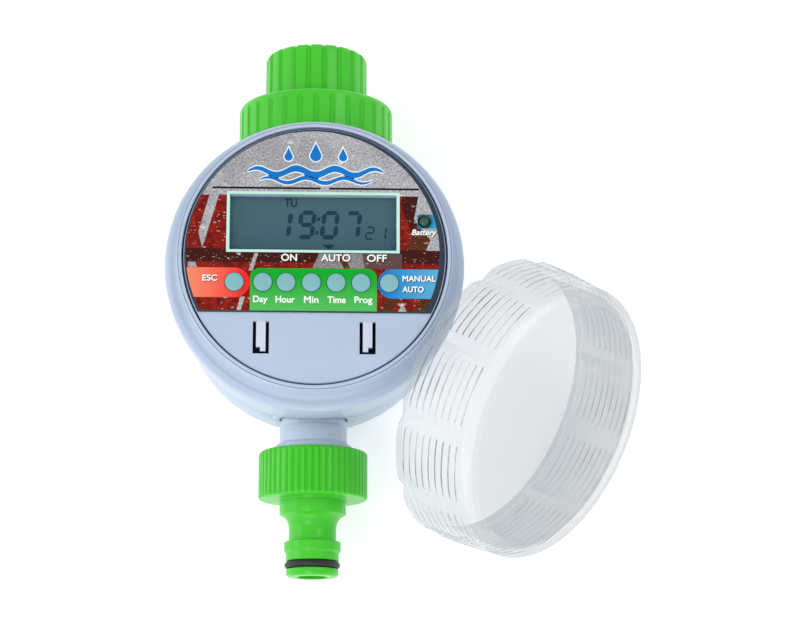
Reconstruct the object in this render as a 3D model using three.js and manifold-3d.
// Drip irrigation timer: a battery-driven ball valve for a garden tap, with its clear screw-on
// cover taken off and stood against the housing. Millimetres, +Z up.
// The timer lies on its flat back. The pipe axis runs along Y: the tap end is +Y, the hose end -Y.
// The control face looks along +Z. The origin is the centre of the flat back.
import * as THREE from "three";
import { mergeVertices } from "three/addons/utils/BufferGeometryUtils.js";
import Module from "manifold-3d";

const wasm = await Module();
wasm.setup();

// ---- Driving dimensions ----
const TAU = 2 * Math.PI;
const GAP = 0.3; // clearance between neighbouring pieces
const ROUND = 32; // segments of the large turned pieces
const FINE = 16; // segments of the small turned pieces

const PIPE_Z = 27; // height of the pipe axis, which is also the parting plane of the case
const PARTING = [PIPE_Z - GAP / 2, PIPE_Z + GAP / 2]; // edges of the two case halves
const PIPE_HOLE_R = 13;
const WALL = 2.5;
const FLOOR = 3;
const CASE_R = 43.4; // case radius at the parting plane
const SHOULDER_R = 45.5; // widest part of the case
const SHOULDER_Z = 52;
const COLLAR_R = 41.2; // collar that the clear cover goes over
const COLLAR_TOP = 69.5;
const COLLAR_BORE = 39.75;
const LEDGE_Z = 62.2; // ledge that the control module rests on
const LEDGE_R = 37.9;

const FACE_R = 39.2;
const FACE_TOP = 69;
const FACE_THICK = 2;
const LABEL_THICK = 0.35;
const LABEL_R = 38.9;
const LABEL_CUT_Y = -17.8; // straight lower edge of the label

const WINDOW = { x: [-26.5, 25.3], y: [0.5, 19.3] }; // display opening
const BUTTON_Y = -8.7;
const BUTTON_X = {
  button_escape: -23.9,
  button_day: -15.45,
  button_hour: -8.5,
  button_minute: -1.0,
  button_time: 6.4,
  button_program: 13.8,
  button_mode: 22.2,
};
const BUTTON_R = 2.8;
const LAMP = { x: 32.7, y: 10.5, r: 1.7 };
const LATCH_SLOT = { x: [13.4, 18.2], y: [-30.3, -20.5] };
const LATCH = { x: 15.8, half: 1.4, y: [-28.2, -20.8], z: [67.5, 68.8] };

const MODULE_R = 36.8; // board and battery holder inside the skirt of the face plate
const BATTERY = { r: 5.2, y: 5.7, z: 52.8, half: 22 };
const BAY = { half: [27, 13.5], wall: 1.4, z: [46.8, 60] };

const TUBE_R = 10.5; // outlet neck and inlet spigot
const TUBE_END = { y: -65.4, threadR: 12, threadY: -51 };
const SPIGOT_LIP = { r: 13.6, y: [49, 51] }; // the swivel nut turns on it
const NECK_SEAL = { inner: 10.8, outer: 12.7, y: [40.6, 42.6] };
const WATERWAY_R = 6;
const BALL_R = 8.5;
const BALL_BORE_R = 5;
const CHAMBER_R = 12; // outside of the ball chamber
const CHAMBER_MOUTH = -12; // end that the outlet tube closes
const STEM_R = 2.5;

// Gripping rims: grooveShare is the part of each pitch that the groove takes, edges the broken edges.
const COLLAR_NUT = {
  r: 24.5,
  y: [46, 58.6],
  ribs: 30,
  depth: 0.8,
  grooveShare: 0.36,
  edges: [0, 1.6],
};
const COLLAR_FLOOR = 2.2; // end wall of the swivel nut
const THREAD_R = 16.9; // room for the adaptor's thread in the swivel nut
const ADAPTOR = {
  r: 16.2,
  y: [58.9, 76.2],
  ribs: 20,
  depth: 0.9,
  grooveShare: 0.34,
  edges: [0, 1.3],
};
const ADAPTOR_TAIL = { r: 16.3, y: 51.6 };
const ADAPTOR_SEAT = 61; // y of the shoulder that the strainer and the washer lie on
const TAP_WASHER = { inner: 8.2, outer: 11.8, y: [63.1, 65.6] };
const HOSE_NUT = {
  r: 16.9,
  y: [-67.8, -52.9],
  ribs: 46,
  depth: 0.55,
  grooveShare: 1,
  edges: [0.9, 0.9],
};
const HOSE_BORE_R = 4.6;
const HOSE_SOCKET_R = 12.5;
const O_RING = { r: 7.6, thick: 2, y: -88.05 };

const GEAR_MODULE = 1;
const GEAR_BACKLASH = 0.3;
const TEETH = { output: 28, compoundLarge: 24, compoundSmall: 10, pinion: 10 };
const COMPOUND = [9.5, -16.45]; // axis of the compound gear
const MOTOR = [24.2, -7.95]; // axis of the motor
const LOWER_LAYER = [41.1, 43];
const UPPER_LAYER = [43.4, 45.4];

const SCREW_AT = 24.7; // x and y of the four case screws
const BOSS_R = 3.6;
const BOSS_TOP = 38.8;
const SCREW_BORE_R = 1.8;
const SCREW_HEAD = { r: 2.9, recessR: 3.4, recess: 2.6 };

// The clear cover stands on the edge of its lip, facing the housing.
const COVER = {
  lipCentre: [55.2, -37.5, 38.1],
  azimuth: -30.1,
  elevation: 33.3, // of the outward normal of its window
  length: 26.7,
  innerR: 41.6,
  valleyR: 43.5,
  lobeR: 45.2,
  windowR: 43.3,
  thick: 2,
  lobes: 11,
};

// ---- Materials ----
function plastic(color, roughness = 0.5) {
  return new THREE.MeshStandardMaterial({ color, roughness });
}
const MATERIAL = {
  housing: plastic(0xbbcae0, 0.42),
  green: plastic(0x56c930, 0.4),
  face: plastic(0xb9c8dc, 0.45),
  label: plastic(0x8d5a52, 0.35),
  button: plastic(0xa5bece, 0.5),
  rubber: plastic(0x15171a, 0.7),
  clear: new THREE.MeshStandardMaterial({
    color: 0xe8edf0,
    roughness: 0.08,
    transparent: true,
    opacity: 0.35,
  }),
  screen: plastic(0x486874, 0.2),
  board: plastic(0x1f6b3a, 0.6),
  white: plastic(0xe8e8e4, 0.5),
  battery: plastic(0x2b2f36, 0.35),
  gear: plastic(0xf0ede2, 0.45),
  steel: new THREE.MeshStandardMaterial({ color: 0xb8bcc0, roughness: 0.35, metalness: 1 }),
  seat: plastic(0xf4f4f0, 0.3),
};

// ---- Solids ----
// A closed geometry as a solid, turned the right way round if its faces point inwards.
function solid(geometry) {
  const bare = (geometry.index ? geometry.toNonIndexed() : geometry).clone();
  bare.deleteAttribute("normal");
  bare.deleteAttribute("uv");
  const merged = mergeVertices(bare, 1e-3);
  const index = merged.index.array;
  const kept = [];
  for (let i = 0; i < index.length; i += 3) {
    const [a, b, c] = [index[i], index[i + 1], index[i + 2]];
    if (a !== b && b !== c && c !== a) kept.push(a, b, c);
  }
  const make = (triangles) =>
    new wasm.Manifold(
      new wasm.Mesh({
        numProp: 3,
        vertProperties: merged.attributes.position.array,
        triVerts: new Uint32Array(triangles),
      }),
    );
  const made = make(kept);
  return made.volume() < 0 ? make(kept.reverse()) : made;
}

function geometryOf(made) {
  const mesh = made.getMesh();
  const geometry = new THREE.BufferGeometry();
  geometry.setAttribute("position", new THREE.BufferAttribute(mesh.vertProperties.slice(), 3));
  geometry.setIndex(new THREE.BufferAttribute(mesh.triVerts.slice(), 1));
  return geometry;
}

const join = (first, ...others) => others.reduce((made, other) => made.add(other), first);
const cut = (first, ...others) => others.reduce((made, other) => made.subtract(other), first);

// A closed profile of [radius, height] points turned about Y, or about Z for turnedZ.
function turnedY(profile, segments = FINE) {
  const closed = [...profile, profile[0]];
  return new THREE.LatheGeometry(closed.map(([r, h]) => new THREE.Vector2(r, h)), segments);
}
const turnedZ = (profile, segments = FINE) => turnedY(profile, segments).rotateX(Math.PI / 2);

// A plain ring or, with no inner radius, a disc: about Y or about Z.
function sleeve(inner, outer, low, high) {
  return [
    [inner, low],
    [outer, low],
    [outer, high],
    [inner, high],
  ];
}
function ringY(inner, outer, low, high, segments) {
  return solid(turnedY(sleeve(inner, outer, low, high), segments));
}
function ringZ(inner, outer, low, high, segments) {
  return solid(turnedZ(sleeve(inner, outer, low, high), segments));
}
function rodZ(x, y, r, low, high, segments = 10) {
  return solid(turnedZ(sleeve(0, r, low, high), segments).translate(x, y, 0));
}
function rodY(r, low, high, segments) {
  return solid(turnedY(sleeve(0, r, low, high), segments).translate(0, 0, PIPE_Z));
}
function rodX(y, z, r, low, high, segments = 10) {
  const rod = turnedY(sleeve(0, r, low, high), segments);
  return solid(rod.rotateZ(-Math.PI / 2).translate(0, y, z));
}

function box([x0, x1], [y0, y1], [z0, z1]) {
  const made = new THREE.BoxGeometry(x1 - x0, y1 - y0, z1 - z0);
  return solid(made.translate((x0 + x1) / 2, (y0 + y1) / 2, (z0 + z1) / 2));
}

// A quarter or other arc of [radius, height] points about a centre, from one angle to another.
function arc(r, h, radius, from, to, steps = 4) {
  return Array.from({ length: steps + 1 }, (_, i) => {
    const a = THREE.MathUtils.degToRad(from + ((to - from) * i) / steps);
    return [r + radius * Math.cos(a), h + radius * Math.sin(a)];
  });
}

// An outline extruded along Z from one height to another.
function extrudeZ(points, low, high) {
  const shape = new THREE.Shape(points.map(([x, y]) => new THREE.Vector2(x, y)));
  return new THREE.ExtrudeGeometry(shape, { depth: high - low, bevelEnabled: false }).translate(0, 0, low);
}

// Outline of a gripping rim: lands at the full radius with grooves cut between them.
// Each point of the groove is a share of its half width and a share of its depth.
function ribbedOutline({ r, ribs, depth, grooveShare, groove }) {
  const step = TAU / ribs;
  const half = (grooveShare * step) / 2;
  const points = [];
  for (let i = 0; i < ribs; i++) {
    for (const [across, down] of groove) {
      const angle = i * step + across * half;
      const radius = r - down * depth;
      points.push([radius * Math.cos(angle), radius * Math.sin(angle)]);
    }
  }
  return points;
}
const FLAT_GROOVE = [
  [-1, 0],
  [-0.6, 1],
  [0.6, 1],
  [1, 0],
];
const V_GROOVE = [
  [-1, 0],
  [0, 1],
];

// A solid lofted along Y through rings of points, which all see the axis, with flat ends.
function loftY(rings) {
  const count = rings[0].points.length;
  const position = [];
  const index = [];
  for (const { points, y } of rings) points.forEach(([x, z]) => position.push(x, y, z));
  for (let ring = 0; ring + 1 < rings.length; ring++) {
    for (let i = 0; i < count; i++) {
      const a = ring * count + i;
      const b = ring * count + ((i + 1) % count);
      index.push(a, a + count, b, b, a + count, b + count);
    }
  }
  const lastRing = (rings.length - 1) * count;
  position.push(0, rings[0].y, 0, 0, rings.at(-1).y, 0);
  const centre = rings.length * count;
  for (let i = 0; i < count; i++) {
    const next = (i + 1) % count;
    index.push(centre, i, next, centre + 1, lastRing + next, lastRing + i);
  }
  const geometry = new THREE.BufferGeometry();
  geometry.setAttribute("position", new THREE.Float32BufferAttribute(position, 3));
  geometry.setIndex(index);
  return solid(geometry);
}

// A gripping rim about the Y axis, with its edges broken. Where it meets a neighbour it has no edge.
function grippingRim(rim) {
  const [low, high] = rim.y;
  const outline = ribbedOutline(rim);
  const ring = (y, inset) => {
    const scale = (rim.r - inset) / rim.r;
    return { y, points: outline.map(([x, z]) => [x * scale, z * scale]) };
  };
  const [lowEdge, highEdge] = rim.edges;
  const lower = lowEdge ? [ring(low, lowEdge), ring(low + lowEdge, 0)] : [ring(low, 0)];
  return loftY([...lower, ring(high - highEdge, 0), ring(high, highEdge)]);
}

// ---- Gears ----
const involute = (angle) => Math.tan(angle) - angle;

// Outline of a spur gear with involute flanks. One tooth points along the phase angle.
function gearOutline(teeth, phase) {
  const pitchR = (GEAR_MODULE * teeth) / 2;
  const pressure = THREE.MathUtils.degToRad(20);
  const baseR = pitchR * Math.cos(pressure);
  const tipR = pitchR + 0.8 * GEAR_MODULE;
  const rootR = pitchR - 1.15 * GEAR_MODULE;
  const halfAtPitch = Math.PI / (2 * teeth) - GEAR_BACKLASH / (2 * pitchR);
  const halfAt = (r) => {
    const flank = involute(Math.acos(Math.min(1, baseR / r)));
    return halfAtPitch + involute(pressure) - flank;
  };
  const start = Math.max(baseR, rootR);
  const flankRadii = [start, tipR];
  const points = [];
  for (let i = 0; i < teeth; i++) {
    const centre = phase + (i * TAU) / teeth;
    const polar = (r, angle) => points.push([r * Math.cos(angle), r * Math.sin(angle)]);
    polar(rootR, centre - halfAt(start) - 0.02);
    flankRadii.forEach((r) => polar(r, centre - halfAt(r)));
    [...flankRadii].reverse().forEach((r) => polar(r, centre + halfAt(r)));
    polar(rootR, centre + halfAt(start) + 0.02);
  }
  return points;
}

function gear(teeth, phase, [low, high], [x, y]) {
  return solid(extrudeZ(gearOutline(teeth, phase), low, high).translate(x, y, 0));
}

const toCompound = Math.atan2(COMPOUND[1], COMPOUND[0]);
const toMotor = Math.atan2(MOTOR[1] - COMPOUND[1], MOTOR[0] - COMPOUND[0]);
// A gear whose gap faces back along the line that its partner's tooth points along.
const facingGap = (line, teeth) => line + Math.PI + Math.PI / teeth;

// ---- Case ----
const screwPlaces = [
  [SCREW_AT, SCREW_AT],
  [-SCREW_AT, SCREW_AT],
  [-SCREW_AT, -SCREW_AT],
  [SCREW_AT, -SCREW_AT],
];

// Round hole for the pipe and its rubber ring through both ends of the case.
const pipeHole = () => rodY(PIPE_HOLE_R, -60, 60);

function rearCase() {
  const shell = solid(
    turnedZ(
      [
        [0, 0],
        [38.8, 0],
        ...arc(38.8, 3.4, 3.4, -50, 0, 2),
        [43, 18],
        [CASE_R, PARTING[0]],
        [CASE_R - WALL, PARTING[0]],
        [40.4, 18],
        ...arc(37, FLOOR + 2.8, 2.8, 0, -90, 1),
        [0, FLOOR],
      ],
      ROUND,
    ),
  );
  const { recessR, recess } = SCREW_HEAD;
  const bosses = screwPlaces.map(([x, y]) => rodZ(x, y, BOSS_R, FLOOR - 1, PARTING[0], 8));
  const bores = screwPlaces.map(([x, y]) => rodZ(x, y, SCREW_BORE_R, -1, PIPE_Z + 1, 8));
  const recesses = screwPlaces.map(([x, y]) => rodZ(x, y, recessR, -1, recess));
  const saddles = [-9, 9].map((y) => {
    return box([-13.5, 13.5], [y - 1, y + 1], [FLOOR - 1, PIPE_Z - 9]);
  });
  const cradle = rodY(CHAMBER_R + GAP, -20, 20);
  const body = join(shell, ...bosses, ...saddles.map((s) => cut(s, cradle)));
  return cut(body, pipeHole(), ...bores, ...recesses);
}

function frontCase() {
  const bottom = PARTING[1];
  const shell = solid(
    turnedZ(
      [
        [CASE_R - WALL, bottom],
        [CASE_R, bottom],
        [SHOULDER_R, SHOULDER_Z],
        ...arc(SHOULDER_R - 2.4, 56.2, 2.4, 0, 90, 2),
        ...arc(COLLAR_R + 1.8, 60.4, 1.8, 270, 180, 2),
        [COLLAR_R, 69],
        [COLLAR_R - 0.5, COLLAR_TOP],
        [COLLAR_BORE, COLLAR_TOP],
        [COLLAR_BORE, LEDGE_Z],
        [LEDGE_R, LEDGE_Z],
        [LEDGE_R, 60.2],
        [SHOULDER_R - WALL - 1.4, 56.4],
        [SHOULDER_R - WALL, SHOULDER_Z],
      ],
      ROUND,
    ),
  );
  const bosses = screwPlaces.map(([x, y]) => {
    const post = rodZ(x, y, BOSS_R, bottom, BOSS_TOP, 8);
    const web = new THREE.BoxGeometry(8, 2, BOSS_TOP - bottom);
    web.translate(37.8, 0, (BOSS_TOP + bottom) / 2);
    return join(post, solid(web.rotateZ(Math.atan2(y, x))));
  });
  const bores = screwPlaces.map(([x, y]) => rodZ(x, y, SCREW_BORE_R - 0.1, 20, BOSS_TOP - 1.3));
  return cut(join(shell, ...bosses), pipeHole(), ...bores);
}

function caseScrew([x, y]) {
  const profile = [
    [0, 0.5],
    [SCREW_HEAD.r - 0.6, 0.5],
    [SCREW_HEAD.r, 1.1],
    [SCREW_HEAD.r, 2.3],
    [1.4, 2.3],
    [1.4, 35.5],
    [0.4, 37],
    [0, 37],
  ];
  return solid(turnedZ(profile, 10).translate(x, y, 0));
}

// ---- Water path ----
function valveBody() {
  const lipEnd = SPIGOT_LIP.y[1];
  const outer = join(
    rodY(CHAMBER_R, CHAMBER_MOUTH, 14),
    rodY(TUBE_R, 10, lipEnd),
    rodY(SPIGOT_LIP.r, ...SPIGOT_LIP.y),
    rodZ(0, 0, 6.5, PIPE_Z, 38.9),
  );
  const chamber = rodY(9.6, CHAMBER_MOUTH - 1, 9.7);
  const waterway = rodY(WATERWAY_R, 0, 60);
  const stemBore = rodZ(0, 0, STEM_R + 0.5, PIPE_Z, 45);
  const sealSeat = rodZ(0, 0, 4.9, 37, 45);
  return cut(outer, chamber, waterway, stemBore, sealSeat);
}

// Rubber ring between the case and the pipe that leaves it.
function neckSeal(side) {
  const y = NECK_SEAL.y.map((v) => v * side).sort((a, b) => a - b);
  return lift(ringY(NECK_SEAL.inner, NECK_SEAL.outer, ...y));
}

// Outlet neck: a flange that closes the ball chamber, a plain tube and a threaded end.
function outletTube() {
  return solid(
    turnedY([
      [WATERWAY_R, TUBE_END.y],
      [TUBE_END.threadR - 0.6, TUBE_END.y],
      [TUBE_END.threadR, TUBE_END.y + 0.6],
      [TUBE_END.threadR, TUBE_END.threadY],
      [TUBE_R, TUBE_END.threadY + 0.6],
      [TUBE_R, CHAMBER_MOUTH - 3.5],
      [CHAMBER_R, CHAMBER_MOUTH - 3.2],
      [CHAMBER_R, CHAMBER_MOUTH - GAP],
      [9.3, CHAMBER_MOUTH - GAP],
      [9.3, -9.8],
      [WATERWAY_R, -9.8],
    ]).translate(0, 0, PIPE_Z),
  );
}

// Seat ring with a cone towards the ball.
function ballSeat(side) {
  const profile = [
    [5.4, 7],
    [6.2, 6.3],
    [9.2, 6.3],
    [9.2, 9.4],
    [5.4, 9.4],
  ];
  const facing = profile.map(([r, y]) => [r, y * side]);
  return solid(turnedY(facing).translate(0, 0, PIPE_Z));
}

function valveBall() {
  const sphere = new THREE.SphereGeometry(BALL_R, FINE, 10).rotateX(Math.PI / 2);
  const ball = solid(sphere.translate(0, 0, PIPE_Z));
  const bore = rodX(0, PIPE_Z, BALL_BORE_R, -20, 20, FINE);
  const slot = box([-1.6, 1.6], [-10, 10], [PIPE_Z + BALL_R - 2, 60]);
  return cut(ball, bore, slot);
}

// Stem: a tongue in the ball's slot, a round shaft and a flat that drives the output gear.
function ballStem() {
  const shaft = rodZ(0, 0, STEM_R, 35.9, 46);
  const tongue = box([-1.3, 1.3], [-2.4, 2.4], [PIPE_Z + BALL_R - 1.7, 36.5]);
  const flat = box([1.8, 4], [-4, 4], [40, 50]);
  return cut(join(shaft, tongue), flat);
}

function outputGear() {
  const wheel = gear(TEETH.output, toCompound, UPPER_LAYER, [0, 0]);
  const hub = rodZ(0, 0, 5, 41.3, UPPER_LAYER[1]);
  const bore = cut(rodZ(0, 0, STEM_R + GAP, 30, 60), box([2.1, 4], [-4, 4], [20, 60]));
  return cut(join(wheel, hub), bore);
}

function compoundGear() {
  const large = gear(TEETH.compoundLarge, toMotor, LOWER_LAYER, COMPOUND);
  const small = gear(
    TEETH.compoundSmall,
    facingGap(toCompound, TEETH.compoundSmall),
    [LOWER_LAYER[0], UPPER_LAYER[1]],
    COMPOUND,
  );
  return cut(join(large, small), rodZ(...COMPOUND, 1.8, 30, 60));
}

function motorPinion() {
  const wheel = gear(TEETH.pinion, facingGap(toMotor, TEETH.pinion), LOWER_LAYER, MOTOR);
  const shaft = rodZ(...MOTOR, 1, 36.5, LOWER_LAYER[1] + 0.8);
  return join(wheel, shaft);
}

function driveMotor() {
  const can = solid(
    turnedZ(
      [
        [0, 12.6],
        [3, 12.6],
        [3, 13.4],
        [9.4, 13.4],
        [10, 14],
        [10, 36.6],
        [9.4, 37.2],
        [3.4, 37.2],
        [3.4, 38.6],
        [0, 38.6],
      ],
    ).translate(...MOTOR, 0),
  );
  const flats = [-1, 1].map((side) => {
    const y = MOTOR[1] + side * 11;
    return box([MOTOR[0] - 12, MOTOR[0] + 12], [y - 2.5, y + 2.5], [12, 37.9]);
  });
  return cut(can, ...flats, rodZ(...MOTOR, 1.4, 36, 45));
}

// Plate over the valve and motor, with the axle of the compound gear.
function gearboxPlate() {
  const plate = rodZ(8, -8, 25, 39.4, 40.7, ROUND);
  const axle = rodZ(...COMPOUND, 1.5, 40, 46);
  const holes = [rodZ(0, 0, 5.6, 30, 60), rodZ(...MOTOR, 2.2, 30, 60)];
  return join(cut(plate, ...holes), axle);
}

// ---- Tap side ----
// Large swivel nut: it turns on the lip of the inlet spigot and holds the tap adaptor.
function collarNut() {
  const [low, high] = COLLAR_NUT.y;
  const floor = low + COLLAR_FLOOR;
  const bore = turnedY([
    [0, low - 1],
    [TUBE_R + 0.4, low - 1],
    [TUBE_R + 0.4, floor],
    [THREAD_R, floor],
    [THREAD_R, high + 1],
    [0, high + 1],
  ]);
  return lift(cut(grippingRim({ ...COLLAR_NUT, groove: FLAT_GROOVE }), solid(bore)));
}

// Threaded reducer that goes onto the tap, with its own gripping rim.
function tapAdaptor() {
  const [low, high] = ADAPTOR.y;
  const tail = ringY(0, ADAPTOR_TAIL.r, ADAPTOR_TAIL.y, low + 1);
  const bore = turnedY([
    [0, ADAPTOR_TAIL.y - 1],
    [9, ADAPTOR_TAIL.y - 1],
    [9, ADAPTOR_SEAT],
    [12.2, ADAPTOR_SEAT],
    [12.2, high - 0.8],
    [12.7, high + 0.1],
    [0, high + 0.1],
  ]);
  return lift(cut(join(grippingRim({ ...ADAPTOR, groove: FLAT_GROOVE }), tail), solid(bore)));
}

// Pieces made about the Y axis move up to the pipe axis.
function lift(made) {
  return solid(geometryOf(made).translate(0, 0, PIPE_Z));
}

const tapWasher = () => lift(ringY(TAP_WASHER.inner, TAP_WASHER.outer, ...TAP_WASHER.y));

// Thimble-shaped strainer that hangs through the seat of the adaptor.
function inletFilter() {
  return lift(
    solid(
      turnedY([
        [0, 52.4],
        [5, 52.4],
        [8.4, ADAPTOR_SEAT + 0.6],
        [11.8, ADAPTOR_SEAT + 0.6],
        [11.8, ADAPTOR_SEAT + 1.8],
        [7.6, ADAPTOR_SEAT + 1.8],
        [4.4, 53.4],
        [0, 53.4],
      ]),
    ),
  );
}

// ---- Hose side ----
// Nut and quick-connect nipple moulded as one piece.
function hoseConnector() {
  const [low, high] = HOSE_NUT.y;
  const nipple = turnedY([
    [0, -91.7],
    [6.9, -91.7],
    ...arc(6.9, -90.5, 1.2, -90, 0, 2),
    [8.1, -89.3],
    [6.4, -89.3],
    [6.4, -86.8],
    [8.2, -86.8],
    [8.2, -84.2],
    [8.8, -83.8],
    [8.8, -80.9],
    [7.35, -80.5],
    [7.35, -76.2],
    [8.2, -74.2],
    [10.3, -72.6],
    [10.3, low + 1],
    [0, low + 1],
  ]);
  const socket = ringY(0, HOSE_SOCKET_R, low + 0.6, high + 1);
  const bore = ringY(0, HOSE_BORE_R, -95, high);
  const nut = grippingRim({ ...HOSE_NUT, groove: V_GROOVE });
  return lift(cut(join(nut, solid(nipple)), socket, bore));
}

const connectorWasher = () => lift(ringY(5.6, 12.1, -66.9, -65.7));

function oRing({ r, thick, y }) {
  const ring = new THREE.TorusGeometry(r, thick / 2, 8, FINE);
  return solid(ring.rotateX(Math.PI / 2).translate(0, y, PIPE_Z));
}

// ---- Control module ----
function facePlate() {
  const skirtR = FACE_R - 1.4;
  const under = FACE_TOP - FACE_THICK;
  const cup = solid(
    turnedZ(
      [
        [0, under],
        [skirtR, under],
        [skirtR, LEDGE_Z + GAP],
        [FACE_R, LEDGE_Z + GAP],
        [FACE_R, FACE_TOP - 0.4],
        [FACE_R - 0.4, FACE_TOP],
        [0, FACE_TOP],
      ],
      ROUND,
    ),
  );
  const through = [under - 1, FACE_TOP + 1];
  const lensSeat = box(WINDOW.x, WINDOW.y, [FACE_TOP - 1.2, FACE_TOP + 1]);
  const sight = box(inset(WINDOW.x, 1), inset(WINDOW.y, 1), through);
  const slots = [-1, 1].map((side) => {
    const x = LATCH_SLOT.x.map((v) => v * side).sort((a, b) => a - b);
    return box(x, LATCH_SLOT.y, through);
  });
  return cut(cup, lensSeat, sight, ...slots, ...faceHoles(through));
}

// Round holes for the buttons and the lamp.
function faceHoles(through) {
  const buttons = Object.values(BUTTON_X).map((x) => rodZ(x, BUTTON_Y, BUTTON_R + GAP, ...through));
  return [...buttons, rodZ(LAMP.x, LAMP.y, LAMP.r + GAP, ...through)];
}

function inset([low, high], by) {
  return [low + by, high - by];
}

// Printed overlay: a disc with a straight lower edge, open over the display and the buttons.
function faceLabel() {
  const low = FACE_TOP + 0.05;
  const high = low + LABEL_THICK;
  const disc = ringZ(0, LABEL_R, low, high, ROUND);
  const through = [low - 1, high + 1];
  const lower = box([-50, 50], [-50, LABEL_CUT_Y], through);
  const sight = box(WINDOW.x, WINDOW.y, through);
  return cut(disc, lower, sight, ...faceHoles(through));
}

function displayLens() {
  return box(inset(WINDOW.x, GAP), inset(WINDOW.y, GAP), [FACE_TOP - 0.9, FACE_TOP + 0.2]);
}

function displayPanel() {
  return box(inset(WINDOW.x, -0.6), inset(WINDOW.y, -0.6), [63.6, 66.6]);
}

function circuitBoard() {
  const board = ringZ(0, MODULE_R, 61.6, 63, ROUND);
  const latchRoom = [-1, 1].map((side) => {
    const x = side * LATCH.x;
    return box([x - 3, x + 3], [-40, -19], [60, 65]);
  });
  return cut(board, ...latchRoom);
}

// Battery holder that closes the back of the module: two cells lie side by side in its bay.
function batteryTray() {
  const cover = ringZ(0, MODULE_R, 59.6, 61.3, ROUND);
  const [x, y] = BAY.half;
  const bay = box([-x, x], [-y, y], BAY.z);
  const room = box(inset([-x, x], BAY.wall), inset([-y, y], BAY.wall), [40, BAY.z[1] - 1.2]);
  return cut(join(cover, bay), room);
}

function battery(side) {
  const { r, z, half } = BATTERY;
  const y = side * BATTERY.y;
  const cap = side < 0 ? [half - 1, half + 1] : [-half - 1, 1 - half];
  return join(rodX(y, z, r, -half, half, FINE), rodX(y, z, 1.9, ...cap));
}

// Sprung contact plate at one end of the battery bay, with a dimple for each cell.
function contactPlate(side) {
  const plate = box(side < 0 ? [-25.3, -24.8] : [24.8, 25.3], [-11, 11], [48.5, 57]);
  const dimples = [-1, 1].map((cell) => {
    const deep = side === cell ? 0.6 : 1.4;
    const span = side < 0 ? [-25, -24.8 + deep] : [24.8 - deep, 25];
    return rodX(cell * BATTERY.y, BATTERY.z, 2.4, ...span);
  });
  return join(plate, ...dimples);
}

function lamp() {
  const top = FACE_TOP + LABEL_THICK;
  return solid(
    turnedZ(
      [
        [0, 64.4],
        [2.4, 64.4],
        [2.4, 65.4],
        [LAMP.r, 65.4],
        [LAMP.r, top - 0.6],
        ...arc(LAMP.r - 1, top - 0.6, 1, 0, 90, 3),
        [0, top + 0.5],
      ],
      10,
    ).translate(LAMP.x, LAMP.y, 0),
  );
}

function pushButton(x) {
  const top = FACE_TOP + 1.1;
  return solid(
    turnedZ(
      [
        [0, 64.4],
        [1.5, 64.4],
        [1.5, 65.8],
        [3.3, 65.8],
        [3.3, 66.7],
        [BUTTON_R, 66.7],
        [BUTTON_R, top - 0.5],
        [BUTTON_R - 0.5, top],
        [0, top + 0.15],
      ],
      10,
    ).translate(x, BUTTON_Y, 0),
  );
}

// Sprung tongue that locks the module: it hangs in the slot of the face plate and ends in a foot.
function latch(side) {
  const { half, y, z } = LATCH;
  const tongue = box([-half, half], y, z);
  const foot = box(side < 0 ? [0.2, half] : [-half, -0.2], [y[0] - 1.3, y[0] + 0.1], z);
  const hook = box([-half, half], [y[0], y[0] + 1.2], [z[0] - 2.9, z[0] + 0.5]);
  return solid(geometryOf(join(tongue, foot, hook)).translate(side * LATCH.x, 0, 0));
}

// ---- Clear cover ----
// How far a point of the cover's outside stands out at one angle: flat lobes with short valleys.
function lobeShare(angle) {
  const wave = 0.5 + 0.5 * Math.cos(COVER.lobes * angle);
  return Math.min(1, 1.9 * Math.sqrt(wave));
}

// Cup with a scalloped lip. The lobes are highest at the lip and fade out towards the window.
function clearCover() {
  const { length, innerR, valleyR, windowR, lobeR, thick } = COVER;
  const outside = [
    [valleyR, 0],
    [valleyR, 7],
    [valleyR - 0.05, 14],
    [windowR, 21],
    ...arc(windowR - 3.4, length - 3.4, 3.4, 0, 80, 2),
    [0, length],
  ];
  const inside = [
    [0, length - thick],
    [innerR - 2, length - thick],
    [innerR - 0.2, length - thick - 2],
    [innerR, 0],
  ];
  const cup = new THREE.LatheGeometry(
    [...outside, ...inside, outside[0]].map(([r, h]) => new THREE.Vector2(r, h)),
    COVER.lobes * 7,
  );
  const at = cup.attributes.position;
  for (let i = 0; i < at.count; i++) {
    const [x, h, z] = [at.getX(i), at.getY(i), at.getZ(i)];
    const r = Math.hypot(x, z);
    if (r < innerR + 0.5 || h > 20) continue;
    const fade = 1 - (h / 21) ** 2;
    const grown = 1 + ((lobeR - valleyR) * lobeShare(Math.atan2(z, x)) * fade) / r;
    at.setXYZ(i, x * grown, h, z * grown);
  }
  return solid(cup.rotateX(Math.PI / 2));
}

// ---- Assembly ----
const timer = new THREE.Group();

function add(name, made, material, parent = timer) {
  const mesh = new THREE.Mesh(geometryOf(made), material);
  mesh.name = name;
  parent.add(mesh);
  return mesh;
}

add("rear_case", rearCase(), MATERIAL.housing);
add("front_case", frontCase(), MATERIAL.housing);
screwPlaces.forEach((place, i) => add(`case_screw_${i + 1}`, caseScrew(place), MATERIAL.steel));

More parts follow.
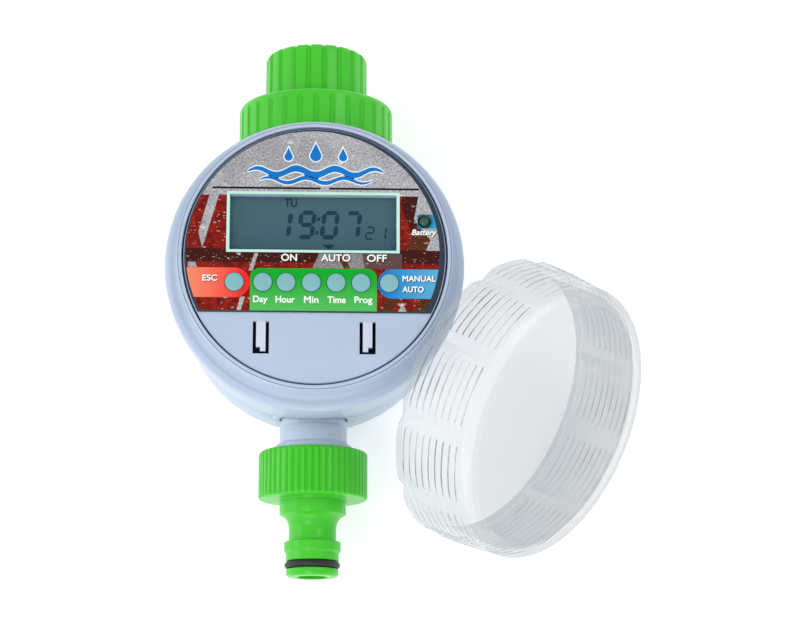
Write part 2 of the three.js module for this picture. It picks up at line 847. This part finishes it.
add("valve_body", valveBody(), MATERIAL.housing);
add("outlet_tube", outletTube(), MATERIAL.housing);
add("inlet_neck_seal", neckSeal(1), MATERIAL.rubber);
add("outlet_neck_seal", neckSeal(-1), MATERIAL.rubber);
add("inlet_seat", ballSeat(1), MATERIAL.seat);
add("outlet_seat", ballSeat(-1), MATERIAL.seat);
add("valve_ball", valveBall(), MATERIAL.steel);
add("ball_stem", ballStem(), MATERIAL.steel);
add("stem_seal", ringZ(2.85, 4.6, 37.3, 38.7), MATERIAL.rubber);
add("output_gear", outputGear(), MATERIAL.gear);
add("compound_gear", compoundGear(), MATERIAL.gear);
add("motor_pinion", motorPinion(), MATERIAL.gear);
add("drive_motor", driveMotor(), MATERIAL.steel);
add("gearbox_plate", gearboxPlate(), MATERIAL.white);

add("tap_collar_nut", collarNut(), MATERIAL.green);
add("tap_adaptor", tapAdaptor(), MATERIAL.green);
add("tap_washer", tapWasher(), MATERIAL.rubber);
add("inlet_filter", inletFilter(), MATERIAL.white);
add("hose_connector", hoseConnector(), MATERIAL.green);
add("connector_washer", connectorWasher(), MATERIAL.rubber);
add("connector_o_ring", oRing(O_RING), MATERIAL.rubber);

add("face_plate", facePlate(), MATERIAL.face);
add("face_label", faceLabel(), MATERIAL.label);
add("display_lens", displayLens(), MATERIAL.clear);
add("display_panel", displayPanel(), MATERIAL.screen);
add("circuit_board", circuitBoard(), MATERIAL.board);
add("battery_tray", batteryTray(), MATERIAL.white);
add("battery_1", battery(-1), MATERIAL.battery);
add("battery_2", battery(1), MATERIAL.battery);
add("battery_contact_1", contactPlate(-1), MATERIAL.steel);
add("battery_contact_2", contactPlate(1), MATERIAL.steel);
add("battery_lamp", lamp(), MATERIAL.board);
Object.entries(BUTTON_X).forEach(([name, x]) => add(name, pushButton(x), MATERIAL.button));
add("latch_left", latch(-1), MATERIAL.white);
add("latch_right", latch(1), MATERIAL.white);

// The cover's own axis, from its lip to its window, is its local Z.
const coverStand = new THREE.Group();
coverStand.position.set(...COVER.lipCentre);
coverStand.rotation.order = "ZYX";
coverStand.rotation.z = THREE.MathUtils.degToRad(COVER.azimuth);
coverStand.rotation.y = THREE.MathUtils.degToRad(90 - COVER.elevation);
timer.add(coverStand);
add("clear_cover", clearCover(), MATERIAL.clear, coverStand);

export default timer;
